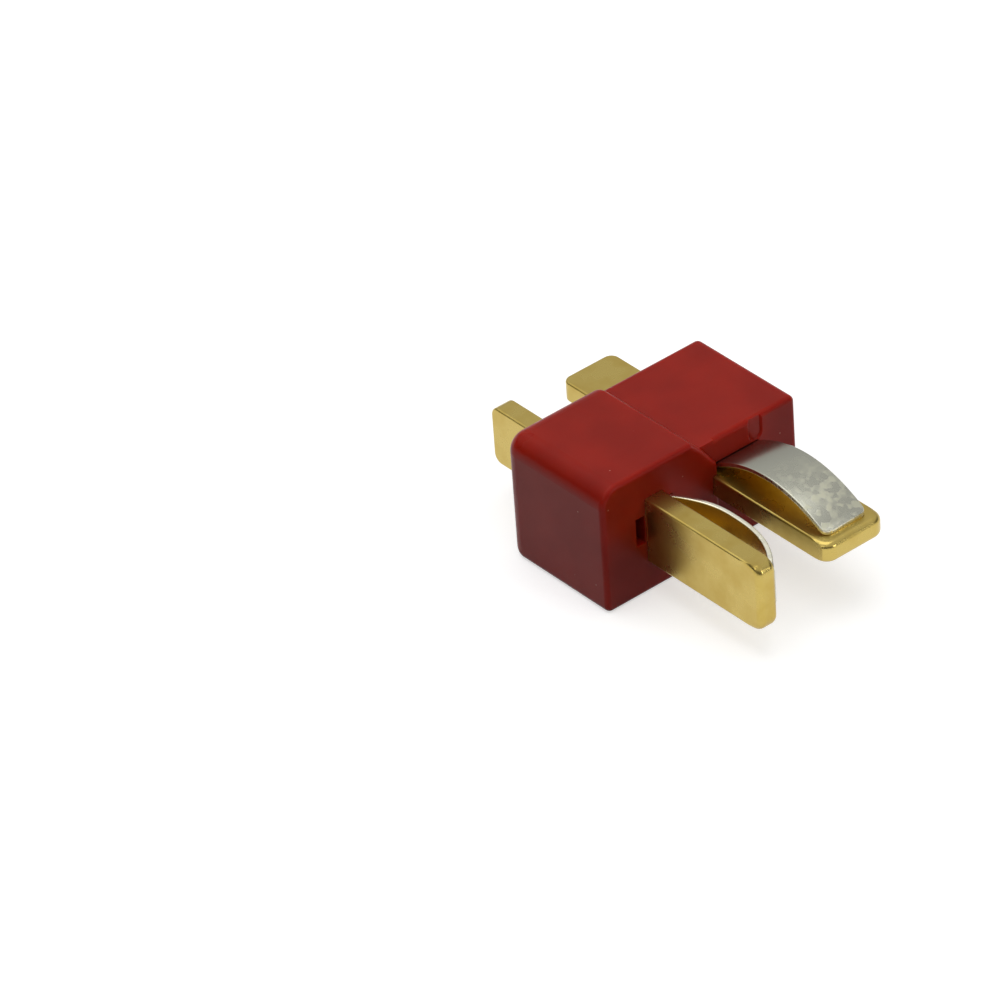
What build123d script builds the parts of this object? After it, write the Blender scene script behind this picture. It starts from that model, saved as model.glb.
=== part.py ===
from build123d import *
import os
from math import sqrt

# A T-shaped two-pole battery plug, the half that carries the bare blades.
# A stepped nylon housing is moulded round two equal brass stampings. One stands on edge in the
# tall half and the other lies flat in the short half. Each stamping is a blade in front, a
# notched middle that the nylon grips, and a solder tab behind. An arched leaf spring lies on
# each blade: its foot rests near the blade's tip and its tail lies in a pocket of the housing.
#
# Lengths are millimetres. X runs from the tall half to the short half, Y from the blades to the
# solder tabs, and Z up. The origin is on the flat underside, on the line where the two halves
# meet, half way along the housing.

# Housing
tall_width = 6.82
short_width = 8.15
tall_height = 8.4
shoulder_drop = 0.8
housing_depth = 8.6
short_set_back = 0.34
short_rear_reach = 0.1
land_width = 1.9
land_drop = 1.45
land_blend = 0.6
land_root = 1.2

# Roundings of the housing's edges
tall_edge_rounding = 1.25
short_edge_rounding = 0.4
underside_rounding = 0.4
shoulder_rounding = 0.15
front_rounding = 0.3
tall_rear_rounding = 1.05
short_rear_rounding = 0.4

# Contacts, both the same stamping
contact_thickness = 1.35
blade_width = 4.4
blade_reach = 9.6
blade_corner = 0.85
blade_nose = 0.4
nose_spread = 0.15
tab_width = 3.9
tab_reach = 4.95
tab_corner = 0.6
tab_shoulder_depth = 1.4
notch_depth = 0.55
notch_length = 1.5
notch_corner = 0.25
notch_from_rear = 3.4
stamped_edge = 0.14

# Where the contacts sit in the housing
vertical_face_inset = 2.29
vertical_centre_height = 4.25
horizontal_centre_inset = 3.64
horizontal_top_height = 5.4

# Leaf springs, both the same strip
spring_width = 3.2
spring_thickness = 0.3
arch_rise = 1.42
arch_root_depth = 0.65
foot_length = 0.3
foot_set_back = 0.75
foot_corner = 0.5
tail_length = 1.35
bend_radius = 0.5
upright_leaf_advance = 0.15

# Pockets and marks in the housing
spring_clearance = 0.04
tail_slide_room = 0.6
core_pin_width = 0.7
core_pin_height = 1.9
core_pin_depth = 0.8
core_pin_rise = 0.2
core_pin_wall = 0.1
ejector_radius = 0.42
ejector_depth = 0.12
ejector_flare = 45
ejector_from_corner = 3.1
ejector_from_top = 1.1

# Places that follow from the sizes above
short_height = tall_height - shoulder_drop
front_y = -housing_depth / 2
rear_y = housing_depth / 2
set_back_y = front_y + short_set_back
short_rear_y = rear_y + short_rear_reach
tip_y = front_y - blade_reach
tab_end_y = rear_y + tab_reach
tab_shoulder_y = rear_y - tab_shoulder_depth
notch_y = rear_y - notch_from_rear

foot_end_y = tip_y + foot_set_back
arch_front_y = foot_end_y + foot_length
arch_rear_y = front_y + arch_root_depth
tail_end_y = arch_rear_y + tail_length
arch_centre_y = (arch_front_y + arch_rear_y) / 2
arch_half_chord = (arch_rear_y - arch_front_y) / 2
arch_radius = (arch_half_chord**2 + arch_rise**2) / (2 * arch_rise)


def rounded_face(corners):
    """A face through the corners, each given as a point and the radius that rounds it."""
    face = make_face(Polyline(*[point for point, radius in corners], close=True))
    for point, radius in corners:
        if radius > 0:
            face = fillet(face.vertices().sort_by_distance(point)[0], radius)
    return face


def extrude_back(face, start_y, end_y):
    """Draw a face in X and Z, and extrude it from start_y back to end_y."""
    return extrude(Plane.XZ.offset(-end_y) * face, end_y - start_y)


def outline_at(solid, y):
    """The edges round the solid's flat end at y."""
    end = solid.faces().filter_by(Axis.Y).sort_by_distance((0, y, short_height / 2))[0]
    return end.edges()


def tall_half():
    """The tall half with its shoulder, up to the short half's front face."""
    corners = [
        ((-tall_width, 0), underside_rounding),
        ((land_width, 0), 0),
        ((land_width, short_height), 0),
        ((shoulder_drop, short_height), 0),
        ((0, tall_height), shoulder_rounding),
        ((-tall_width, tall_height), tall_edge_rounding),
    ]
    prism = extrude_back(rounded_face(corners), set_back_y, rear_y)
    return fillet(outline_at(prism, rear_y), tall_rear_rounding)


def short_half():
    """The short half, which stands a little behind the tall one at the rear."""
    corners = [
        ((0, 0), 0),
        ((short_width, 0), underside_rounding),
        ((short_width, short_height), short_edge_rounding),
        ((0, short_height), 0),
    ]
    prism = extrude_back(rounded_face(corners), set_back_y, short_rear_y)
    prism = fillet(outline_at(prism, short_rear_y), short_rear_rounding)
    return fillet(outline_at(prism, set_back_y), front_rounding)


def mating_land():
    """The tall half's front and the strip beside it, which stand proud of the short half."""
    corners = [
        ((-tall_width, 0), underside_rounding),
        ((land_width, 0), 0),
        ((land_width, short_height - land_drop), land_blend),
        ((shoulder_drop, short_height), land_blend),
        ((0, tall_height), shoulder_rounding),
        ((-tall_width, tall_height), tall_edge_rounding),
    ]
    land = extrude_back(rounded_face(corners), front_y, set_back_y + land_root)
    return fillet(outline_at(land, front_y), front_rounding)


def contact():
    """One stamping, lying flat: its middle on X = 0, and its underside on Z = 0."""
    blade = Pos(0, (tip_y + tab_shoulder_y) / 2) * Rectangle(blade_width, tab_shoulder_y - tip_y)
    tab = Pos(0, (tab_shoulder_y + tab_end_y) / 2) * Rectangle(tab_width, tab_end_y - tab_shoulder_y)
    tab = fillet(tab.vertices().group_by(Axis.Y)[-1], tab_corner)
    notch = RectangleRounded(2 * notch_depth, notch_length, notch_corner)
    outline = blade + tab
    for side in (-1, 1):
        outline -= Pos(side * blade_width / 2, notch_y) * notch
    stamping = extrude(outline, contact_thickness)
    return fillet(outer_edges(stamping), stamped_edge) & nose_envelope()


def outer_edges(stamping):
    """The edges of both flat faces, apart from those in the notches."""
    edges = ShapeList()
    for face in stamping.faces().filter_by(Axis.Z):
        edges += face.edges()
    return edges.filter_by(lambda edge: abs(edge.center().Y - notch_y) > notch_length)


def nose_envelope():
    """A wedge as thick as the stamping. Its narrow end rounds the blade's tip on every side, and it
    widens towards the rear, so that the rounding fades out along the blade."""
    length = tab_end_y - tip_y + 2 * blade_nose
    narrow = blade_width / 2
    wide = narrow + nose_spread * length
    corners = [
        ((-narrow, tip_y), blade_corner),
        ((narrow, tip_y), blade_corner),
        ((wide, tip_y + length), 0),
        ((-wide, tip_y + length), 0),
    ]
    wedge = extrude(rounded_face(corners), contact_thickness)
    rims = ShapeList()
    for face in wedge.faces().filter_by(Axis.Z):
        rims += face.edges()
    return fillet(rims, blade_nose)


def strip_side_view():
    """The spring's side view: flat foot, arch and flat tail, all of one thickness."""
    centre_height = arch_rise - arch_radius
    outer_radius = arch_radius + spring_thickness
    outer_half_chord = sqrt(outer_radius**2 - (spring_thickness - centre_height) ** 2)
    foot_inside = (arch_front_y, 0)
    tail_inside = (arch_rear_y, 0)
    foot_outside = (arch_centre_y - outer_half_chord, spring_thickness)
    tail_outside = (arch_centre_y + outer_half_chord, spring_thickness)
    edges = [
        Line((foot_end_y, 0), foot_inside),
        ThreePointArc(foot_inside, (arch_centre_y, arch_rise), tail_inside),
        Polyline(tail_inside, (tail_end_y, 0), (tail_end_y, spring_thickness), tail_outside),
        ThreePointArc(tail_outside, (arch_centre_y, arch_rise + spring_thickness), foot_outside),
        Polyline(foot_outside, (foot_end_y, spring_thickness), (foot_end_y, 0)),
    ]
    side = make_face(edges)
    for point in (foot_inside, tail_inside):
        side = fillet(side.vertices().sort_by_distance(point)[0], bend_radius + spring_thickness)
    for point in (foot_outside, tail_outside):
        side = fillet(side.vertices().sort_by_distance(point)[0], bend_radius)
    return side


def leaf_spring():
    """One arched leaf that rests on Z = 0, along Y."""
    strip = extrude(Plane.YZ * strip_side_view(), spring_width / 2, both=True)
    plan = Pos(0, (foot_end_y + tail_end_y) / 2) * Rectangle(spring_width, tail_end_y - foot_end_y)
    plan = fillet(plan.vertices().group_by(Axis.Y)[0], foot_corner)
    return strip & extrude(plan, arch_rise + spring_thickness)


def spring_pocket():
    """The room for a leaf inside the housing, open to the front, on Z = 0 along Y."""
    centre_height = arch_rise - arch_radius
    roof_radius = arch_radius + spring_thickness + spring_clearance
    flat_roof = spring_thickness + spring_clearance
    roof_end = (arch_centre_y + sqrt(roof_radius**2 - (flat_roof - centre_height) ** 2), flat_roof)
    pocket_end_y = tail_end_y + tail_slide_room
    crown = (arch_centre_y, centre_height + roof_radius)
    along = (arch_centre_y + roof_end[0]) / 2
    shoulder = (along, centre_height + sqrt(roof_radius**2 - (along - arch_centre_y) ** 2))
    edges = [
        Polyline(roof_end, (pocket_end_y, flat_roof), (pocket_end_y, 0), (arch_centre_y, 0), crown),
        ThreePointArc(crown, shoulder, roof_end),
    ]
    half_width = spring_width / 2 + spring_clearance
    return extrude(Plane.YZ * make_face(edges), half_width, both=True)


def lay_flat(piece, height):
    """Put a piece at a height over the stamping's underside, in the short half."""
    underside = horizontal_top_height - contact_thickness
    return Pos(horizontal_centre_inset, 0, underside + height) * piece


def stand_on_edge(piece, height):
    """Put a piece at a height over the stamping's underside, in the tall half, turned upright."""
    underside = -vertical_face_inset - contact_thickness
    return Pos(underside + height, 0, vertical_centre_height) * Rot(0, 90, 0) * piece


def core_pin_window():
    """The slot that the mould's core pin leaves in the front, along the upright blade."""
    x = -vertical_face_inset - contact_thickness - core_pin_wall - core_pin_width / 2
    z = vertical_centre_height + core_pin_rise
    slot = Box(core_pin_width, 2 * core_pin_depth, core_pin_height)
    return Pos(x, front_y, z) * slot


def ejector_mark():
    """The shallow mark on the short half's front face, round below and open at the top edge."""
    height = short_height - ejector_from_top
    disc = Pos(0, height) * Circle(ejector_radius)
    channel = Pos(0, (height + tall_height) / 2) * Rectangle(2 * ejector_radius, tall_height - height)
    floor = Plane.XZ.offset(-set_back_y - ejector_depth) * (disc + channel)
    mark = extrude(floor, 2 * ejector_depth, taper=-ejector_flare)
    return Pos(short_width - ejector_from_corner, 0, 0) * mark


def upright_leaf_place():
    """The upright leaf's shift along its blade: it sits nearer to the tip than the level one."""
    return Pos(0, -upright_leaf_advance, 0)


def housing():
    """The nylon moulding, with the stampings' own shapes left in it."""
    body = tall_half() + short_half() + mating_land()
    body -= lay_flat(contact(), 0)
    body -= stand_on_edge(contact(), 0)
    body -= lay_flat(spring_pocket(), contact_thickness)
    body -= stand_on_edge(upright_leaf_place() * spring_pocket(), contact_thickness)
    body -= core_pin_window()
    body -= ejector_mark()
    return body


nodes = {
    "housing": housing(),
    "vertical_contact": stand_on_edge(contact(), 0),
    "horizontal_contact": lay_flat(contact(), 0),
    "vertical_spring": stand_on_edge(upright_leaf_place() * leaf_spring(), contact_thickness),
    "horizontal_spring": lay_flat(leaf_spring(), contact_thickness),
}

os.makedirs("parts", exist_ok=True)
for name, shape in nodes.items():
    export_step(shape, f"parts/{name}.step")
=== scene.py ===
# %% [markdown]
# A battery plug seen close up
# The subject is a two-pole T plug about 23 mm long: a red nylon housing, two gold-plated blades
# and an arched leaf spring on each blade. The shapes that carry and fit are already modelled and
# packed, so this lesson loads them as a fixed frame and spends its effort on surfaces. The view
# is so close that a tenth of a millimetre is nearly two pixels wide, so every rounded edge shows.

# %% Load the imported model
import math

import bpy
from mathutils import Matrix, Vector


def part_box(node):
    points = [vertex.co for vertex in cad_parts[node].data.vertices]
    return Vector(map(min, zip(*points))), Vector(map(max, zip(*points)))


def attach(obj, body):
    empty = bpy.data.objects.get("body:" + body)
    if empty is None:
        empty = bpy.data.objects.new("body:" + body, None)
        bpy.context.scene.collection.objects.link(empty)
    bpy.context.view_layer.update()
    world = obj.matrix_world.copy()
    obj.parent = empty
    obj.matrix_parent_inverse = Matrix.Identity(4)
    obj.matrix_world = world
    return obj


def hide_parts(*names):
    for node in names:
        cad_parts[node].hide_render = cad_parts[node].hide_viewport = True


MM = 0.001


def in_mm(vector):
    """A vector in metres as a list of rounded millimetres."""
    return [round(v / MM, 2) for v in vector]


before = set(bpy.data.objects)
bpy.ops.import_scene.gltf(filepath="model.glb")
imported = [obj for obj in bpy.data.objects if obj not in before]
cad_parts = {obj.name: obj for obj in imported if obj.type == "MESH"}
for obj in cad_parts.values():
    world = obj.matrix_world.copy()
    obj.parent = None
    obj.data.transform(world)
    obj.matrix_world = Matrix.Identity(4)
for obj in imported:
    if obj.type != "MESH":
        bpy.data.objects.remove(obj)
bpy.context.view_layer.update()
scene = bpy.context.scene

# %% [markdown]
# Small helpers
# A colour is easiest to read as the sRGB hex value that a picture editor shows, but a shader
# works in linear light, so one function converts it. Every node is added by one other function,
# which also sets its values and makes its links, so that each material and tree below reads as a
# short list of what it is made of. An input is named, or given by its number where a node has
# several inputs of one name.


# %% Colour and node helpers
def linear(hex_colour):
    """The linear RGBA of an sRGB hex colour."""
    channels = [int(hex_colour[i:i + 2], 16) / 255 for i in (1, 3, 5)]
    return [c / 12.92 if c <= 0.04045 else ((c + 0.055) / 1.055) ** 2.4 for c in channels] + [1]


def add(tree, kind, inputs=None, **settings):
    """Add a node. An input's value is a number, a colour, or the output socket to link."""
    node = tree.nodes.new(kind)
    for name, value in settings.items():
        setattr(node, name, value)
    for name, value in (inputs or {}).items():
        socket = node.inputs[name]
        if isinstance(value, bpy.types.NodeSocket):
            tree.links.new(value, socket)
        else:
            socket.default_value = value
    return node


def new_material(name):
    """An empty node material."""
    material = bpy.data.materials.new(name)
    material.use_nodes = True
    material.node_tree.nodes.clear()
    return material


WHITE = linear("#FFFFFF")
print("the grey #808080 is", round(linear("#808080")[0], 3), "in linear light")

# %% [markdown]
# The camera
# The picture was taken from the front left, about 36 degrees above the table, with a long lens
# whose view is almost parallel. A camera with the same angles, and the plug's place in the
# square picture, gives the same perspective. The roll is there because the photographer's
# camera was not level. The place is worked out from the picture, so nothing is shifted.

# %% Where the camera looks
PICTURE_SIDE = 1000
FOCAL_PIXELS = 7000
CAMERA_AZIMUTH = math.radians(-37.66)
CAMERA_ELEVATION = math.radians(35.74)
CAMERA_ROLL = math.radians(-4.39)
CAMERA_DISTANCE = 397.75 * MM
AIM_PIXEL = (695.14, 507.77)
AIM_HEIGHT = 4.0 * MM

front_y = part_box("housing")[0].y
aim = Vector((0, front_y, AIM_HEIGHT))
print("a millimetre is", round(FOCAL_PIXELS * MM / CAMERA_DISTANCE, 1), "pixels at", in_mm(aim))

# %% Camera
SENSOR_WIDTH = 36
NEAR_LIMIT = 10 * MM
FAR_LIMIT = 10


def camera_axes(azimuth, elevation, roll):
    """The camera's right, up and backward directions."""
    back = Vector((
        math.sin(azimuth) * math.cos(elevation),
        -math.cos(azimuth) * math.cos(elevation),
        math.sin(elevation),
    ))
    level = Vector((math.cos(azimuth), math.sin(azimuth), 0))
    upright = back.cross(level)
    right = math.cos(roll) * level + math.sin(roll) * upright
    up = math.cos(roll) * upright - math.sin(roll) * level
    return right, up, back


def add_camera():
    """A camera that shows the aim at its own pixel of the picture."""
    right, up, back = camera_axes(CAMERA_AZIMUTH, CAMERA_ELEVATION, CAMERA_ROLL)
    across = (AIM_PIXEL[0] - PICTURE_SIDE / 2) / FOCAL_PIXELS
    down = (AIM_PIXEL[1] - PICTURE_SIDE / 2) / FOCAL_PIXELS
    to_aim = (right * across - up * down - back) * CAMERA_DISTANCE
    camera = bpy.data.objects.new("camera", bpy.data.cameras.new("camera"))
    camera.data.sensor_width = SENSOR_WIDTH
    camera.data.lens = FOCAL_PIXELS / PICTURE_SIDE * SENSOR_WIDTH
    camera.data.clip_start = NEAR_LIMIT
    camera.data.clip_end = FAR_LIMIT
    turn = Matrix((right, up, back)).transposed().to_4x4()
    camera.matrix_world = Matrix.Translation(aim - to_aim) @ turn
    scene.collection.objects.link(camera)
    scene.camera = camera
    print("camera at", in_mm(aim - to_aim), "with a lens of", round(camera.data.lens), "mm")


add_camera()

# %% [markdown]
# The stage
# The plug lies on a white sweep. In the picture the paper is pure white with only a faint
# shadow where the plug touches it, and yet it throws little light on the plug's sides. So the
# paper has two greys: a light one for rays from the camera and for mirror rays, with a glow that
# makes up the missing white, and a darker one for the light that it sends back to the plug. The
# shadow falls on the diffuse part and so stays.

# %% Paper
PAPER_SEEN = "#D8D8D8"
PAPER_BOUNCE = "#6C6C6C"
PAPER_LIFT = 0.52


def seen_directly(tree):
    """One for rays from the camera and for mirror and glass rays, and nought for the rest."""
    path = add(tree, "ShaderNodeLightPath")
    mirrored = add(tree, "ShaderNodeMath", {0: path.outputs["Is Camera Ray"],
                                            1: path.outputs["Is Glossy Ray"]}, operation="MAXIMUM")
    seen = add(tree, "ShaderNodeMath", {0: mirrored.outputs[0],
                                        1: path.outputs["Is Transmission Ray"]}, operation="MAXIMUM")
    return seen.outputs[0]


def paper_material():
    """Matt white paper that looks whiter than it shines."""
    material = new_material("white_paper_sweep")
    tree = material.node_tree
    seen = seen_directly(tree)
    grey = add(tree, "ShaderNodeMix", {0: seen, 6: linear(PAPER_BOUNCE), 7: linear(PAPER_SEEN)},
               data_type="RGBA")
    paper = add(tree, "ShaderNodeBsdfDiffuse", {"Color": grey.outputs[2]})
    lift = add(tree, "ShaderNodeMath", {0: seen, 1: PAPER_LIFT}, operation="MULTIPLY")
    glow = add(tree, "ShaderNodeEmission", {"Strength": lift.outputs[0]})
    total = add(tree, "ShaderNodeAddShader", {0: paper.outputs[0], 1: glow.outputs[0]})
    add(tree, "ShaderNodeOutputMaterial", {"Surface": total.outputs[0]})
    return material


paper_sweep = paper_material()
print(paper_sweep.name, "is seen as", PAPER_SEEN, "and throws light back as", PAPER_BOUNCE)

# %% Floor
FLOOR_SIZE = 2.0


def add_floor():
    """One large square under the plug."""
    half = FLOOR_SIZE / 2
    mesh = bpy.data.meshes.new("floor")
    mesh.from_pydata([(-half, -half, 0), (half, -half, 0), (half, half, 0), (-half, half, 0)],
                     [], [(0, 1, 2, 3)])
    mesh.materials.append(paper_sweep)
    floor = bpy.data.objects.new("floor", mesh)
    scene.collection.objects.link(floor)
    print("floor", FLOOR_SIZE, "m square")


add_floor()

# %% [markdown]
# The room and its lamps
# The top of the plug is about three times as bright as its upright sides, so most of the light
# comes from overhead. The room is dark up to 20 degrees over the table, which shows as the dark
# lines in the polished edges, and evenly bright from 34 degrees up, like a light tent. Mirror rays
# that run away from the camera meet a bright backdrop lower down too, which gives the leaves their
# even grey. One large softbox overhead adds the rest, and its size keeps every shadow soft. Two
# smaller and weaker ones stand in front and on the left, where they draw the thin pale lines on
# the rounded edges. A panorama of a real studio could light the plug too, but these few numbers
# are easier to match to the picture, one reflection at a time.

# %% Room
ROOM_AT_TABLE = 0.05
ROOM_OVERHEAD = 0.72
ROOM_BEHIND = 0.6
ROOM_SEEN = 1.0
# A height is the sine of the angle over the table: these two are 20 and 34 degrees.
TENT_STARTS = 0.34
TENT_FULL = 0.56
# These two are cosines of the angle to the backdrop's direction: 73 and 46 degrees.
BACKDROP_STARTS = 0.3
BACKDROP_FULL = 0.7
BACKDROP_DIRECTION = (-math.sin(CAMERA_AZIMUTH), math.cos(CAMERA_AZIMUTH), 0)


def room_level(tree, toward, path):
    """The room's brightness in each direction."""
    ahead = add(tree, "ShaderNodeVectorMath", {0: toward, 1: BACKDROP_DIRECTION}, operation="DOT_PRODUCT")
    backdrop = add(tree, "ShaderNodeMapRange", {
        "Value": ahead.outputs["Value"], "From Min": BACKDROP_STARTS, "From Max": BACKDROP_FULL,
        "To Max": path.outputs["Is Glossy Ray"]})
    low = add(tree, "ShaderNodeMapRange", {
        "Value": backdrop.outputs["Result"], "To Min": ROOM_AT_TABLE, "To Max": ROOM_BEHIND})
    height = add(tree, "ShaderNodeSeparateXYZ", {0: toward}).outputs["Z"]
    level = add(tree, "ShaderNodeMapRange", {
        "Value": height, "From Min": TENT_STARTS, "From Max": TENT_FULL,
        "To Min": low.outputs["Result"], "To Max": ROOM_OVERHEAD}, interpolation_type="SMOOTHSTEP")
    return level.outputs["Result"]


def light_room():
    """A world that lights the plug by direction and is plain white to the camera."""
    world = bpy.data.worlds.new("studio")
    world.use_nodes = True
    tree = world.node_tree
    tree.nodes.clear()
    toward = add(tree, "ShaderNodeTexCoord").outputs["Generated"]
    path = add(tree, "ShaderNodeLightPath")
    room = add(tree, "ShaderNodeBackground", {"Color": WHITE, "Strength": room_level(tree, toward, path)})
    seen = add(tree, "ShaderNodeBackground", {"Color": WHITE, "Strength": ROOM_SEEN})
    chosen = add(tree, "ShaderNodeMixShader", {0: path.outputs["Is Camera Ray"],
                                               1: room.outputs[0], 2: seen.outputs[0]})
    add(tree, "ShaderNodeOutputWorld", {"Surface": chosen.outputs[0]})
    scene.world = world
    print("room from", ROOM_AT_TABLE, "at the table to", ROOM_OVERHEAD, "overhead")


light_room()


# %% Lamps
def add_softbox(name, place, size, power):
    """A square lamp that looks at the plug, with its place and size in metres."""
    lamp = bpy.data.lights.new(name, "AREA")
    lamp.size = size
    lamp.energy = power
    softbox = bpy.data.objects.new(name, lamp)
    softbox.location = place
    softbox.rotation_euler = (aim - Vector(place)).to_track_quat("-Z", "Y").to_euler()
    scene.collection.objects.link(softbox)
    print(name, power, "W")


add_softbox("overhead_softbox", place=(-0.05, 0.1, 0.66), size=0.62, power=1.55)
add_softbox("front_softbox", place=(0.22, -0.62, 0.2), size=0.15, power=0.65)
add_softbox("left_softbox", place=(-0.55, -0.13, 0.38), size=0.16, power=0.2)

# %% [markdown]
# Red nylon
# The housing is injection-moulded nylon, a plastic that lets a little light into itself. Red
# light travels further in it than green or blue, so the edges glow a purer red than the flat
# sides: that is subsurface scattering. The melt cools in slightly different tones, and handling
# leaves a few pale nicks. A painted picture would need the housing unwrapped and would blur this
# close, so each is a texture with the size of the real thing. One more helper turns that size, in
# millimetres, into the scale that a texture node wants.

# %% Colour of the nylon
NYLON_RED = "#951D0F"
NYLON_DARK = "#89190D"
NICK_PINK = "#C98A7C"
TONE_SIZE = 4.0
# The noise levels at which the first tone ends and the second is full.
TONE_EDGES = (0.38, 0.62)
NICK_SPACING = 1.3
NICK_RADIUS = 0.06
NICK_CORE = 0.03
NICK_STRENGTH = 0.6


def per_mm(size):
    """The scale of a texture whose features are about this many millimetres across."""
    return 1 / (size * MM)


def nylon_colour(tree, place, tone):
    """Two tones of red, with the pale nicks over them."""
    shade = add(tree, "ShaderNodeMapRange", {"Value": tone, "From Min": TONE_EDGES[0],
                                             "From Max": TONE_EDGES[1]})
    melt = add(tree, "ShaderNodeMix", {0: shade.outputs["Result"], 6: linear(NYLON_RED),
                                       7: linear(NYLON_DARK)}, data_type="RGBA")
    nicks = add(tree, "ShaderNodeTexVoronoi", {"Vector": place, "Scale": per_mm(NICK_SPACING)})
    nick = add(tree, "ShaderNodeMapRange", {
        "Value": nicks.outputs["Distance"], "From Min": NICK_RADIUS / NICK_SPACING,
        "From Max": NICK_CORE / NICK_SPACING, "To Max": NICK_STRENGTH})
    colour = add(tree, "ShaderNodeMix", {0: nick.outputs["Result"], 6: melt.outputs[2],
                                         7: linear(NICK_PINK)}, data_type="RGBA")
    return colour.outputs[2]


print("nicks are", 2 * NICK_RADIUS, "mm wide and lie about", NICK_SPACING, "mm apart")

# %% [markdown]
# The nylon's skin
# The steel mould leaves a fine satin grain. The real grain is finer than a pixel, so it is drawn
# coarser here, at the smallest size that still shows. Nylon's index of refraction is about 1.53.
# Its mirror level is set low, because at the full level the white sweep and tent lay a pale veil
# over the red, which the picture doesn't have.

# %% Nylon
GRAIN_SIZE = 0.09
GRAIN_DEPTH = 0.004
GRAIN_STRENGTH = 0.6
NYLON_IOR = 1.53
NYLON_MIRROR = 0.1
NYLON_ROUGHNESS = (0.27, 0.38)
# The noise levels at which the skin is smoothest and roughest.
TONE_SPAN = (0.3, 0.7)
GLOW_SHARE = 0.8
GLOW_DEPTH = 1.6
# How far red, green and blue light travel, as shares of the depth.
GLOW_REACH = (1.0, 0.15, 0.08)


def nylon_material():
    """Satin red plastic that glows a little from inside."""
    material = new_material("moulded_nylon")
    tree = material.node_tree
    place = add(tree, "ShaderNodeTexCoord").outputs["Object"]
    tone = add(tree, "ShaderNodeTexNoise", {"Vector": place, "Scale": per_mm(TONE_SIZE),
                                            "Detail": 3.0}).outputs["Fac"]
    grain = add(tree, "ShaderNodeTexNoise", {"Vector": place, "Scale": per_mm(GRAIN_SIZE), "Detail": 4.0})
    relief = add(tree, "ShaderNodeBump", {"Height": grain.outputs["Fac"], "Strength": GRAIN_STRENGTH,
                                          "Distance": GRAIN_DEPTH * MM})
    polish = add(tree, "ShaderNodeMapRange", {
        "Value": tone, "From Min": TONE_SPAN[0], "From Max": TONE_SPAN[1],
        "To Min": NYLON_ROUGHNESS[0], "To Max": NYLON_ROUGHNESS[1]})
    skin = add(tree, "ShaderNodeBsdfPrincipled", {
        "Base Color": nylon_colour(tree, place, tone),
        "Roughness": polish.outputs["Result"],
        "IOR": NYLON_IOR,
        "Specular IOR Level": NYLON_MIRROR,
        "Subsurface Weight": GLOW_SHARE,
        "Subsurface Radius": GLOW_REACH,
        "Subsurface Scale": GLOW_DEPTH * MM,
        "Normal": relief.outputs[0],
    })
    add(tree, "ShaderNodeOutputMaterial", {"Surface": skin.outputs[0]})
    return material


nylon = nylon_material()
print("nylon has", len(nylon.node_tree.nodes), "nodes, and red light reaches", GLOW_DEPTH, "mm in")

# %% [markdown]
# Gold-plated brass
# The contacts are stamped from brass strip and plated with a thin pale gold. The strip keeps the
# fine lines of the rolling mill along its length, drawn here wider than the real ones so that
# they show, and the plating is a little warmer in some places than in others. A picture of
# brushed metal could be laid on it, but a noise that is stretched along the strip gives the same
# lines without a seam. A metal has no colour of its own but tints what it mirrors, so the roots of
# the blades take their colour from the housing and need no paint.

# %% Lines of the rolling mill
ROLLING_WIDTH = 0.05
ROLLING_LENGTH = 2.5
ROLLING_DEPTH = 0.0006
ROLLING_STRENGTH = 0.5


def rolling_lines(tree, place):
    """The relief of the rolling mill's lines, which run along Y."""
    along = add(tree, "ShaderNodeMapping", {"Vector": place, "Scale": (
        per_mm(ROLLING_WIDTH), per_mm(ROLLING_LENGTH), per_mm(ROLLING_WIDTH))})
    lines = add(tree, "ShaderNodeTexNoise", {"Vector": along.outputs[0], "Scale": 1.0, "Detail": 2.0})
    relief = add(tree, "ShaderNodeBump", {"Height": lines.outputs["Fac"], "Strength": ROLLING_STRENGTH,
                                          "Distance": ROLLING_DEPTH * MM})
    return relief.outputs[0]


print("rolling lines are", ROLLING_WIDTH, "mm wide and", ROLLING_DEPTH, "mm deep")

# %% Gold
GOLD_PALE = "#C3AC60"
GOLD_WARM = "#BBA152"
GOLD_ROUGHNESS = (0.26, 0.31)
STAIN_SIZE = 1.6
# The noise levels between which the tone changes, and those between which the polish does.
STAIN_EDGES = (0.42, 0.66)
STAIN_SPAN = (0.35, 0.65)


def gold_material():
    """Satin metal in two close tones of pale gold."""
    material = new_material("gold_plated_brass")
    tree = material.node_tree
    place = add(tree, "ShaderNodeTexCoord").outputs["Object"]
    stain = add(tree, "ShaderNodeTexNoise", {"Vector": place, "Scale": per_mm(STAIN_SIZE),
                                             "Detail": 4.0}).outputs["Fac"]
    warmth = add(tree, "ShaderNodeMapRange", {"Value": stain, "From Min": STAIN_EDGES[0],
                                              "From Max": STAIN_EDGES[1]})
    colour = add(tree, "ShaderNodeMix", {0: warmth.outputs["Result"], 6: linear(GOLD_PALE),
                                         7: linear(GOLD_WARM)}, data_type="RGBA")
    polish = add(tree, "ShaderNodeMapRange", {
        "Value": stain, "From Min": STAIN_SPAN[0], "From Max": STAIN_SPAN[1],
        "To Min": GOLD_ROUGHNESS[0], "To Max": GOLD_ROUGHNESS[1]})
    plate = add(tree, "ShaderNodeBsdfPrincipled", {
        "Base Color": colour.outputs[2],
        "Metallic": 1.0,
        "Roughness": polish.outputs["Result"],
        "Normal": rolling_lines(tree, place),
    })
    add(tree, "ShaderNodeOutputMaterial", {"Surface": plate.outputs[0]})
    return material


gold = gold_material()
print("gold has", len(gold.node_tree.nodes), "nodes, and its tones are", STAIN_SIZE, "mm across")

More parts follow.
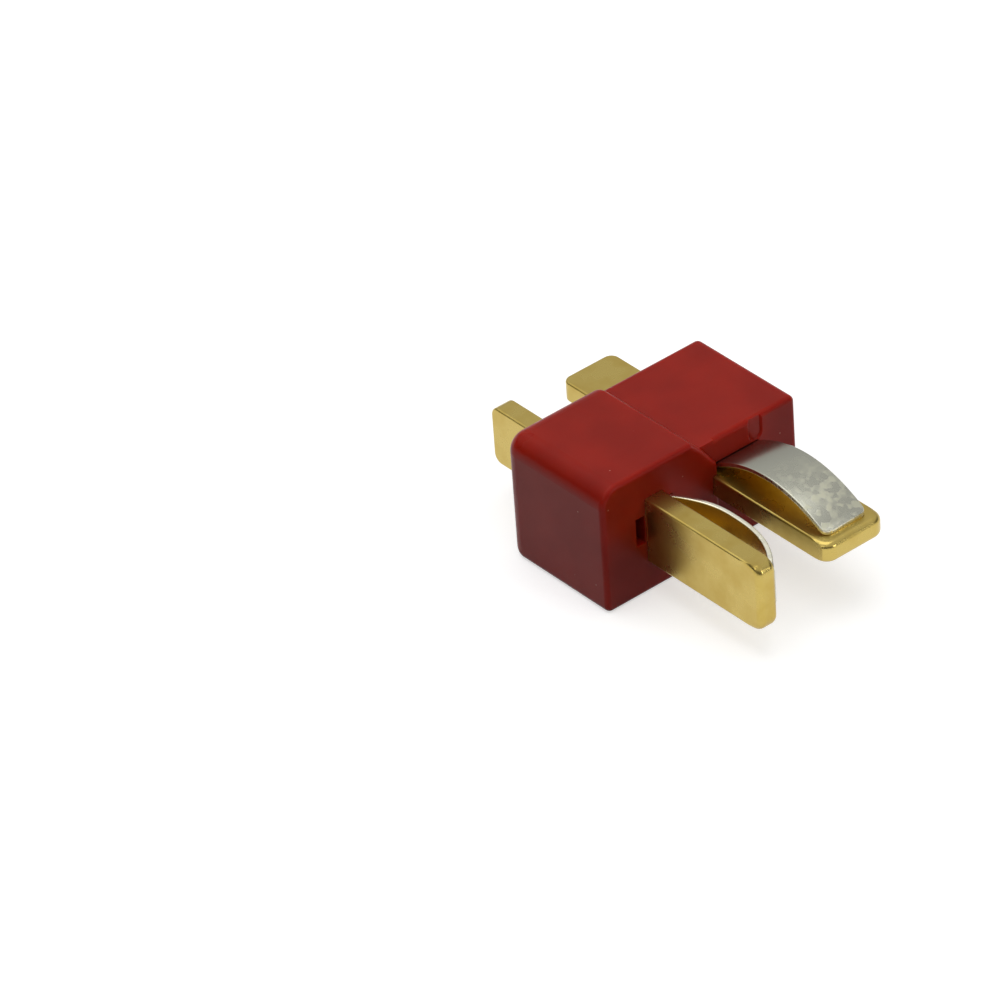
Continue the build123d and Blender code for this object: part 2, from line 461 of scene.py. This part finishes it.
# %% [markdown]
# Nickel-plated spring strip
# The leaves are spring strip with a nickel plating. Near the foot the plating has a coarse
# crystalline mottle, so a cell pattern is laid over the metal and faded in along the strip. A
# painted mask could place it, but the tree that makes the leaf can write an attribute, which runs
# from 0 at the foot to 1 at the tail, so the fade reads that. A second attribute is 1 on the
# underside, which is painted a light warm gold, a little less metallic: painted bounce light, so
# that the gold under the arches mirrors the warm light seen there. A third is 1 on the long
# edges, which are painted nearly white: a painted highlight.

# %% Mottle of the nickel
CRYSTAL_SIZE = 0.35
CRYSTAL_BLEND = 0.5
CRYSTAL_RAGGEDNESS = 0.65
FLECK_EDGES = (0.08, 0.5)
# Shares of the strip's length, from its foot.
MOTTLE_FULL = 0.2
MOTTLE_GONE = 0.5


def nickel_mottle(tree, under):
    """One on the pale flecks, which fade out along the strip and stay off its underside."""
    place = add(tree, "ShaderNodeTexCoord").outputs["Object"]
    cells = add(tree, "ShaderNodeTexVoronoi", {"Vector": place, "Scale": per_mm(CRYSTAL_SIZE),
                                               "Smoothness": CRYSTAL_BLEND}, feature="SMOOTH_F1")
    tone = add(tree, "ShaderNodeSeparateColor", {0: cells.outputs["Color"]}).outputs[0]
    patch = add(tree, "ShaderNodeTexNoise", {"Vector": place, "Scale": per_mm(CRYSTAL_SIZE),
                                             "Detail": 5.0, "Roughness": CRYSTAL_RAGGEDNESS})
    light = add(tree, "ShaderNodeMath", {0: tone, 1: patch.outputs["Fac"]}, operation="MULTIPLY")
    flecks = add(tree, "ShaderNodeMapRange", {
        "Value": light.outputs[0], "From Min": FLECK_EDGES[0], "From Max": FLECK_EDGES[1]},
        interpolation_type="SMOOTHSTEP")
    along = add(tree, "ShaderNodeAttribute", attribute_name="along").outputs["Fac"]
    faded = add(tree, "ShaderNodeMapRange", {"Value": along, "From Min": MOTTLE_GONE,
                                             "From Max": MOTTLE_FULL})
    plated = add(tree, "ShaderNodeMath", {0: faded.outputs["Result"], 1: under}, operation="SUBTRACT",
                 use_clamp=True)
    mottle = add(tree, "ShaderNodeMath", {0: flecks.outputs[0], 1: plated.outputs[0]},
                 operation="MULTIPLY")
    return mottle.outputs[0]


print("crystals are", CRYSTAL_SIZE, "mm wide and end at", MOTTLE_GONE, "of the strip's length")

# %% Nickel
NICKEL_GREY = "#ADADA0"
NICKEL_LIGHT = "#C4C3AF"
NICKEL_ROUGHNESS = (0.26, 0.5)
# Painted bounce light: the underside is a light warm gold, which the gold under the arches mirrors.
PAINTED_BOUNCE_GOLD = "#F0D060"
PAINTED_BOUNCE_METALLIC = 0.92
# Painted highlight: the long edges of the strip are painted nearly white.
PAINTED_EDGE_HIGHLIGHT = "#F2EFDC"
MOTTLE_DEPTH = 0.01
MOTTLE_STRENGTH = 0.4


def nickel_colour(tree, mottle, under):
    """Grey with pale flecks, painted warm bounce light below, and a painted highlight on the edges."""
    worn = add(tree, "ShaderNodeMix", {0: mottle, 6: linear(NICKEL_GREY), 7: linear(NICKEL_LIGHT)},
               data_type="RGBA")
    sides = add(tree, "ShaderNodeMix", {0: under, 6: worn.outputs[2], 7: linear(PAINTED_BOUNCE_GOLD)},
                data_type="RGBA")
    edge = add(tree, "ShaderNodeAttribute", attribute_name="edge").outputs["Fac"]
    colour = add(tree, "ShaderNodeMix", {0: edge, 6: sides.outputs[2], 7: linear(PAINTED_EDGE_HIGHLIGHT)},
                 data_type="RGBA")
    return colour.outputs[2]


def nickel_material():
    """Satin grey metal, rougher where it is mottled."""
    material = new_material("nickel_plated_spring")
    tree = material.node_tree
    under = add(tree, "ShaderNodeAttribute", attribute_name="underside").outputs["Fac"]
    mottle = nickel_mottle(tree, under)
    metallic = add(tree, "ShaderNodeMapRange", {"Value": under, "To Min": 1.0, "To Max": PAINTED_BOUNCE_METALLIC})
    polish = add(tree, "ShaderNodeMapRange", {
        "Value": mottle, "To Min": NICKEL_ROUGHNESS[0], "To Max": NICKEL_ROUGHNESS[1]})
    relief = add(tree, "ShaderNodeBump", {"Height": mottle, "Strength": MOTTLE_STRENGTH,
                                          "Distance": MOTTLE_DEPTH * MM})
    plate = add(tree, "ShaderNodeBsdfPrincipled", {
        "Base Color": nickel_colour(tree, mottle, under),
        "Metallic": metallic.outputs[0],
        "Roughness": polish.outputs["Result"],
        "Normal": relief.outputs[0],
    })
    add(tree, "ShaderNodeOutputMaterial", {"Surface": plate.outputs[0]})
    return material


nickel = nickel_material()
print("nickel has", len(nickel.node_tree.nodes), "nodes")

# %% [markdown]
# The leaf springs
# Each leaf is a strip of constant thickness that lies flat on the blade at both ends and arches in
# between. It could be bent from a plane by hand, but its side view follows a rule: on each side of
# the crown the strip drops with a power of the distance from it, and a soft maximum with the
# blade's face bends it flat at both ends. A Geometry Nodes tree draws that line, sweeps a strip
# with rounded edges along it, and narrows the strip at the foot, where its corners are cut round.
# The two leaves are one tree used twice, so the sizes are its named inputs. The two aren't bent
# quite alike in the picture: the level one is an even arch, and the upright one falls more steeply
# to its foot.

# %% Sizes of a leaf, on a blade that lies along Y: lengths in millimetres
LEAF_LENGTHS = {
    "Foot end": -13.15,
    "Tail end": -2.3,
    "Arch front": -12.85,
    "Crown": -8.25,
    "Arch rear": -3.65,
    "Arch rise": 1.42,
    "Bend softness": 0.25,
    "Strip width": 3.2,
    "Strip thickness": 0.33,
    "Edge rounding": 0.09,
    "Foot corner": 0.5,
}
LEVEL_FULLNESS = 2.0
UPRIGHT_FULLNESS = 2.8
UPRIGHT_CHANGES = {
    "Foot end": -13.3,
    "Arch front": -13.15,
    "Crown": -8.05,
    "Arch rear": -3.86,
    "Arch rise": 1.58,
}
print("a leaf is", round(LEAF_LENGTHS["Tail end"] - LEAF_LENGTHS["Foot end"], 2), "mm long")

# %% The tree and its inputs, which are lengths in metres
leaf_tree = bpy.data.node_groups.new("leaf_spring", "GeometryNodeTree")
for name in (*LEAF_LENGTHS, "Front fullness"):
    leaf_tree.interface.new_socket(name, in_out="INPUT", socket_type="NodeSocketFloat")
leaf_tree.interface.new_socket("Material", in_out="INPUT", socket_type="NodeSocketMaterial")
leaf_tree.interface.new_socket("Geometry", in_out="OUTPUT", socket_type="NodeSocketGeometry")
size = add(leaf_tree, "NodeGroupInput").outputs
leaf_inputs = [socket for socket in leaf_tree.interface.items_tree if socket.in_out == "INPUT"]
print(leaf_tree.name, "has the inputs", [socket.name for socket in leaf_inputs])

# %% The arch
REAR_FULLNESS = 2.0


def arch_height(y):
    """The height of the strip's lower face over the blade at each point of the line."""
    drops = []
    for end, power in (("Arch front", size["Front fullness"]), ("Arch rear", REAR_FULLNESS)):
        share = add(leaf_tree, "ShaderNodeMapRange", {"Value": y, "From Min": size["Crown"],
                                                      "From Max": size[end]}, clamp=False)
        outwards = add(leaf_tree, "ShaderNodeMath", {0: share.outputs[0], 1: 0.0}, operation="MAXIMUM")
        drop = add(leaf_tree, "ShaderNodeMath", {0: outwards.outputs[0], 1: power}, operation="POWER")
        drops.append(drop.outputs[0])
    drop = add(leaf_tree, "ShaderNodeMath", {0: drops[0], 1: drops[1]}, operation="ADD")
    left = add(leaf_tree, "ShaderNodeMath", {0: 1.0, 1: drop.outputs[0]}, operation="SUBTRACT")
    free = add(leaf_tree, "ShaderNodeMath", {0: left.outputs[0], 1: size["Arch rise"]},
               operation="MULTIPLY")
    bent = add(leaf_tree, "ShaderNodeMath", {0: free.outputs[0], 1: 0.0, 2: size["Bend softness"]},
               operation="SMOOTH_MAX")
    return bent.outputs[0]


print("powers in front of the crown", (LEVEL_FULLNESS, UPRIGHT_FULLNESS), "and behind it", REAR_FULLNESS)

# %% The line of the strip
LINE_POINTS = 241
half_thickness = add(leaf_tree, "ShaderNodeMath", {0: size["Strip thickness"], 1: 0.5},
                     operation="MULTIPLY").outputs[0]


def strip_line():
    """The strip's middle line, marked from 0 at the foot to 1 at the tail."""
    start = add(leaf_tree, "ShaderNodeCombineXYZ", {"Y": size["Foot end"]}).outputs[0]
    end = add(leaf_tree, "ShaderNodeCombineXYZ", {"Y": size["Tail end"]}).outputs[0]
    line = add(leaf_tree, "GeometryNodeCurvePrimitiveLine", {"Start": start, "End": end}).outputs[0]
    points = add(leaf_tree, "GeometryNodeResampleCurve", {"Curve": line, "Count": LINE_POINTS}).outputs[0]
    ratio = add(leaf_tree, "GeometryNodeSplineParameter").outputs["Factor"]
    marked = add(leaf_tree, "GeometryNodeStoreNamedAttribute", {
        "Geometry": points, "Name": "along", "Value": ratio}).outputs[0]
    here = add(leaf_tree, "GeometryNodeInputPosition").outputs[0]
    y = add(leaf_tree, "ShaderNodeSeparateXYZ", {0: here}).outputs["Y"]
    height = add(leaf_tree, "ShaderNodeMath", {0: arch_height(y), 1: half_thickness}, operation="ADD")
    place = add(leaf_tree, "ShaderNodeCombineXYZ", {"Y": y, "Z": height.outputs[0]}).outputs[0]
    bent = add(leaf_tree, "GeometryNodeSetPosition", {"Geometry": marked, "Position": place}).outputs[0]
    return add(leaf_tree, "GeometryNodeSetCurveNormal", {"Curve": bent}, mode="Z_UP").outputs[0]


line = strip_line()
print("the line has", LINE_POINTS, "points")

# %% The section of the strip
ROUNDING_STEPS = 4
# Shares of the half thickness: the flat faces are at 1.
UNDERSIDE_FROM = 0.6
EDGE_STARTS = 0.98
EDGE_FULL = 0.6


def strip_section():
    """The strip's section with rounded edges, marked on its underside and on its edges."""
    flat = add(leaf_tree, "GeometryNodeCurvePrimitiveQuadrilateral", {
        "Width": size["Strip width"], "Height": size["Strip thickness"]}).outputs[0]
    marked = add(leaf_tree, "GeometryNodeFilletCurve", {
        "Curve": flat, "Radius": size["Edge rounding"], "Count": ROUNDING_STEPS}, mode="POLY").outputs[0]
    here = add(leaf_tree, "GeometryNodeInputPosition").outputs[0]
    down = add(leaf_tree, "ShaderNodeSeparateXYZ", {0: here}).outputs["Y"]
    share = add(leaf_tree, "ShaderNodeMath", {0: down, 1: half_thickness}, operation="DIVIDE").outputs[0]
    under = add(leaf_tree, "ShaderNodeMapRange", {"Value": share, "From Min": UNDERSIDE_FROM})
    outwards = add(leaf_tree, "ShaderNodeMath", {0: share}, operation="ABSOLUTE").outputs[0]
    edge = add(leaf_tree, "ShaderNodeMapRange", {"Value": outwards, "From Min": EDGE_STARTS,
                                                 "From Max": EDGE_FULL})
    for name, value in (("underside", under), ("edge", edge)):
        marked = add(leaf_tree, "GeometryNodeStoreNamedAttribute", {
            "Geometry": marked, "Name": name, "Value": value.outputs[0]}).outputs[0]
    return marked


section = strip_section()
print("each edge of the strip is rounded in", ROUNDING_STEPS, "steps")


# %% The sweep and the foot's round corners
def foot_cut(y):
    """How far the round corner narrows the strip on each side, from the corner's start to the end."""
    corner = size["Foot corner"]
    full = add(leaf_tree, "ShaderNodeMath", {0: size["Foot end"], 1: corner}, operation="ADD")
    short = add(leaf_tree, "ShaderNodeMapRange", {
        "Value": y, "From Min": full.outputs[0], "From Max": size["Foot end"], "To Max": 1.0})
    square = add(leaf_tree, "ShaderNodeMath", {0: short.outputs[0], 1: 2.0}, operation="POWER")
    rest = add(leaf_tree, "ShaderNodeMath", {0: 1.0, 1: square.outputs[0]}, operation="SUBTRACT")
    quarter = add(leaf_tree, "ShaderNodeMath", {0: rest.outputs[0]}, operation="SQRT")
    cut = add(leaf_tree, "ShaderNodeMapRange", {
        "Value": quarter.outputs[0], "From Min": 1.0, "From Max": 0.0, "To Max": corner})
    return cut.outputs[0]


def with_round_foot(strip):
    """Narrow the strip over its last stretch, so that its foot has round corners."""
    here = add(leaf_tree, "GeometryNodeInputPosition").outputs[0]
    place = add(leaf_tree, "ShaderNodeSeparateXYZ", {0: here}).outputs
    half = add(leaf_tree, "ShaderNodeMath", {0: size["Strip width"], 1: 0.5}, operation="MULTIPLY")
    share = add(leaf_tree, "ShaderNodeMath", {0: foot_cut(place["Y"]), 1: half.outputs[0]},
                operation="DIVIDE")
    kept = add(leaf_tree, "ShaderNodeMath", {0: 1.0, 1: share.outputs[0]}, operation="SUBTRACT")
    across = add(leaf_tree, "ShaderNodeMath", {0: place["X"], 1: kept.outputs[0]}, operation="MULTIPLY")
    moved = add(leaf_tree, "ShaderNodeCombineXYZ", {
        "X": across.outputs[0], "Y": place["Y"], "Z": place["Z"]}).outputs[0]
    return add(leaf_tree, "GeometryNodeSetPosition", {"Geometry": strip, "Position": moved}).outputs[0]


strip = add(leaf_tree, "GeometryNodeCurveToMesh", {
    "Curve": line, "Profile Curve": section, "Fill Caps": True}).outputs[0]
real = add(leaf_tree, "GeometryNodeRealizeInstances", {"Geometry": with_round_foot(strip)}).outputs[0]
dressed = add(leaf_tree, "GeometryNodeSetMaterial", {"Geometry": real, "Material": size["Material"]})
add(leaf_tree, "NodeGroupOutput", {"Geometry": dressed.outputs[0]})
print(leaf_tree.name, "has", len(leaf_tree.nodes), "nodes")

# %% [markdown]
# Two leaves from one tree
# A modifier runs the tree on an empty object, and its result is kept as a plain mesh, because the
# finished piece should hold nothing live. The tree bends its strip on a blade that lies flat
# along Y, so the level leaf is only moved to its blade, and the upright one is turned on edge
# first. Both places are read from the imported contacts, so the leaves follow them.

# %% Run the tree
SHARP_ANGLE = math.radians(35)


def run_tree(name, sizes):
    """The tree's mesh for these sizes, with its sharp edges marked."""
    seed = bpy.data.objects.new(name + "_line", bpy.data.meshes.new(name + "_line"))
    scene.collection.objects.link(seed)
    modifier = seed.modifiers.new("leaf", "NODES")
    modifier.node_group = leaf_tree
    for socket in leaf_inputs:
        modifier[socket.identifier] = sizes[socket.name]
    evaluated = seed.evaluated_get(bpy.context.evaluated_depsgraph_get())
    mesh = bpy.data.meshes.new_from_object(evaluated)
    bpy.data.objects.remove(seed)
    mesh.name = name
    mesh.shade_smooth()
    mesh.set_sharp_from_angle(angle=SHARP_ANGLE)
    return mesh


def leaf_sizes(fullness, changes):
    """The inputs of the tree for one leaf."""
    lengths = {name: length * MM for name, length in {**LEAF_LENGTHS, **changes}.items()}
    return {**lengths, "Front fullness": fullness, "Material": nickel}


upright_mesh = run_tree("upright_leaf", leaf_sizes(UPRIGHT_FULLNESS, UPRIGHT_CHANGES))
level_mesh = run_tree("level_leaf", leaf_sizes(LEVEL_FULLNESS, {}))
for mesh in (upright_mesh, level_mesh):
    print(mesh.name, "has", len(mesh.polygons), "faces")


# %% Put the leaves on their blades
def put_leaf(mesh, placement, stands_for):
    """Put a leaf on its blade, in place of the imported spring."""
    mesh.transform(placement)
    leaf = bpy.data.objects.new(mesh.name, mesh)
    scene.collection.objects.link(leaf)
    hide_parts(stands_for)
    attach(leaf, "root")
    low = Vector([min(v.co[i] for v in mesh.vertices) for i in range(3)])
    high = Vector([max(v.co[i] for v in mesh.vertices) for i in range(3)])
    print(leaf.name, "reaches from", in_mm(low), "to", in_mm(high))


vertical_low, vertical_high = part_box("vertical_contact")
horizontal_low, horizontal_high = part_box("horizontal_contact")
vertical_middle = (vertical_low + vertical_high) / 2
horizontal_middle = (horizontal_low + horizontal_high) / 2
on_upright_blade = Matrix.Translation((vertical_high.x, 0, vertical_middle.z)) @ Matrix.Rotation(
    math.radians(90), 4, "Y")
on_level_blade = Matrix.Translation((horizontal_middle.x, 0, horizontal_high.z))
put_leaf(upright_mesh, on_upright_blade, "vertical_spring")
put_leaf(level_mesh, on_level_blade, "horizontal_spring")

# %% [markdown]
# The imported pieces
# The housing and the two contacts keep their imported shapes, which already have every rounded
# edge that shows. They only need their materials.


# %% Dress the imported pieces
def dress(node, material):
    """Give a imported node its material."""
    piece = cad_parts[node]
    piece.data.materials.clear()
    piece.data.materials.append(material)
    print(node, "is", material.name)


dress("housing", nylon)
dress("vertical_contact", gold)
dress("horizontal_contact", gold)

# %% [markdown]
# The end
# The view transform Standard shows each colour about as it is written above.

# %% Finish
scene.view_settings.view_transform = "Standard"
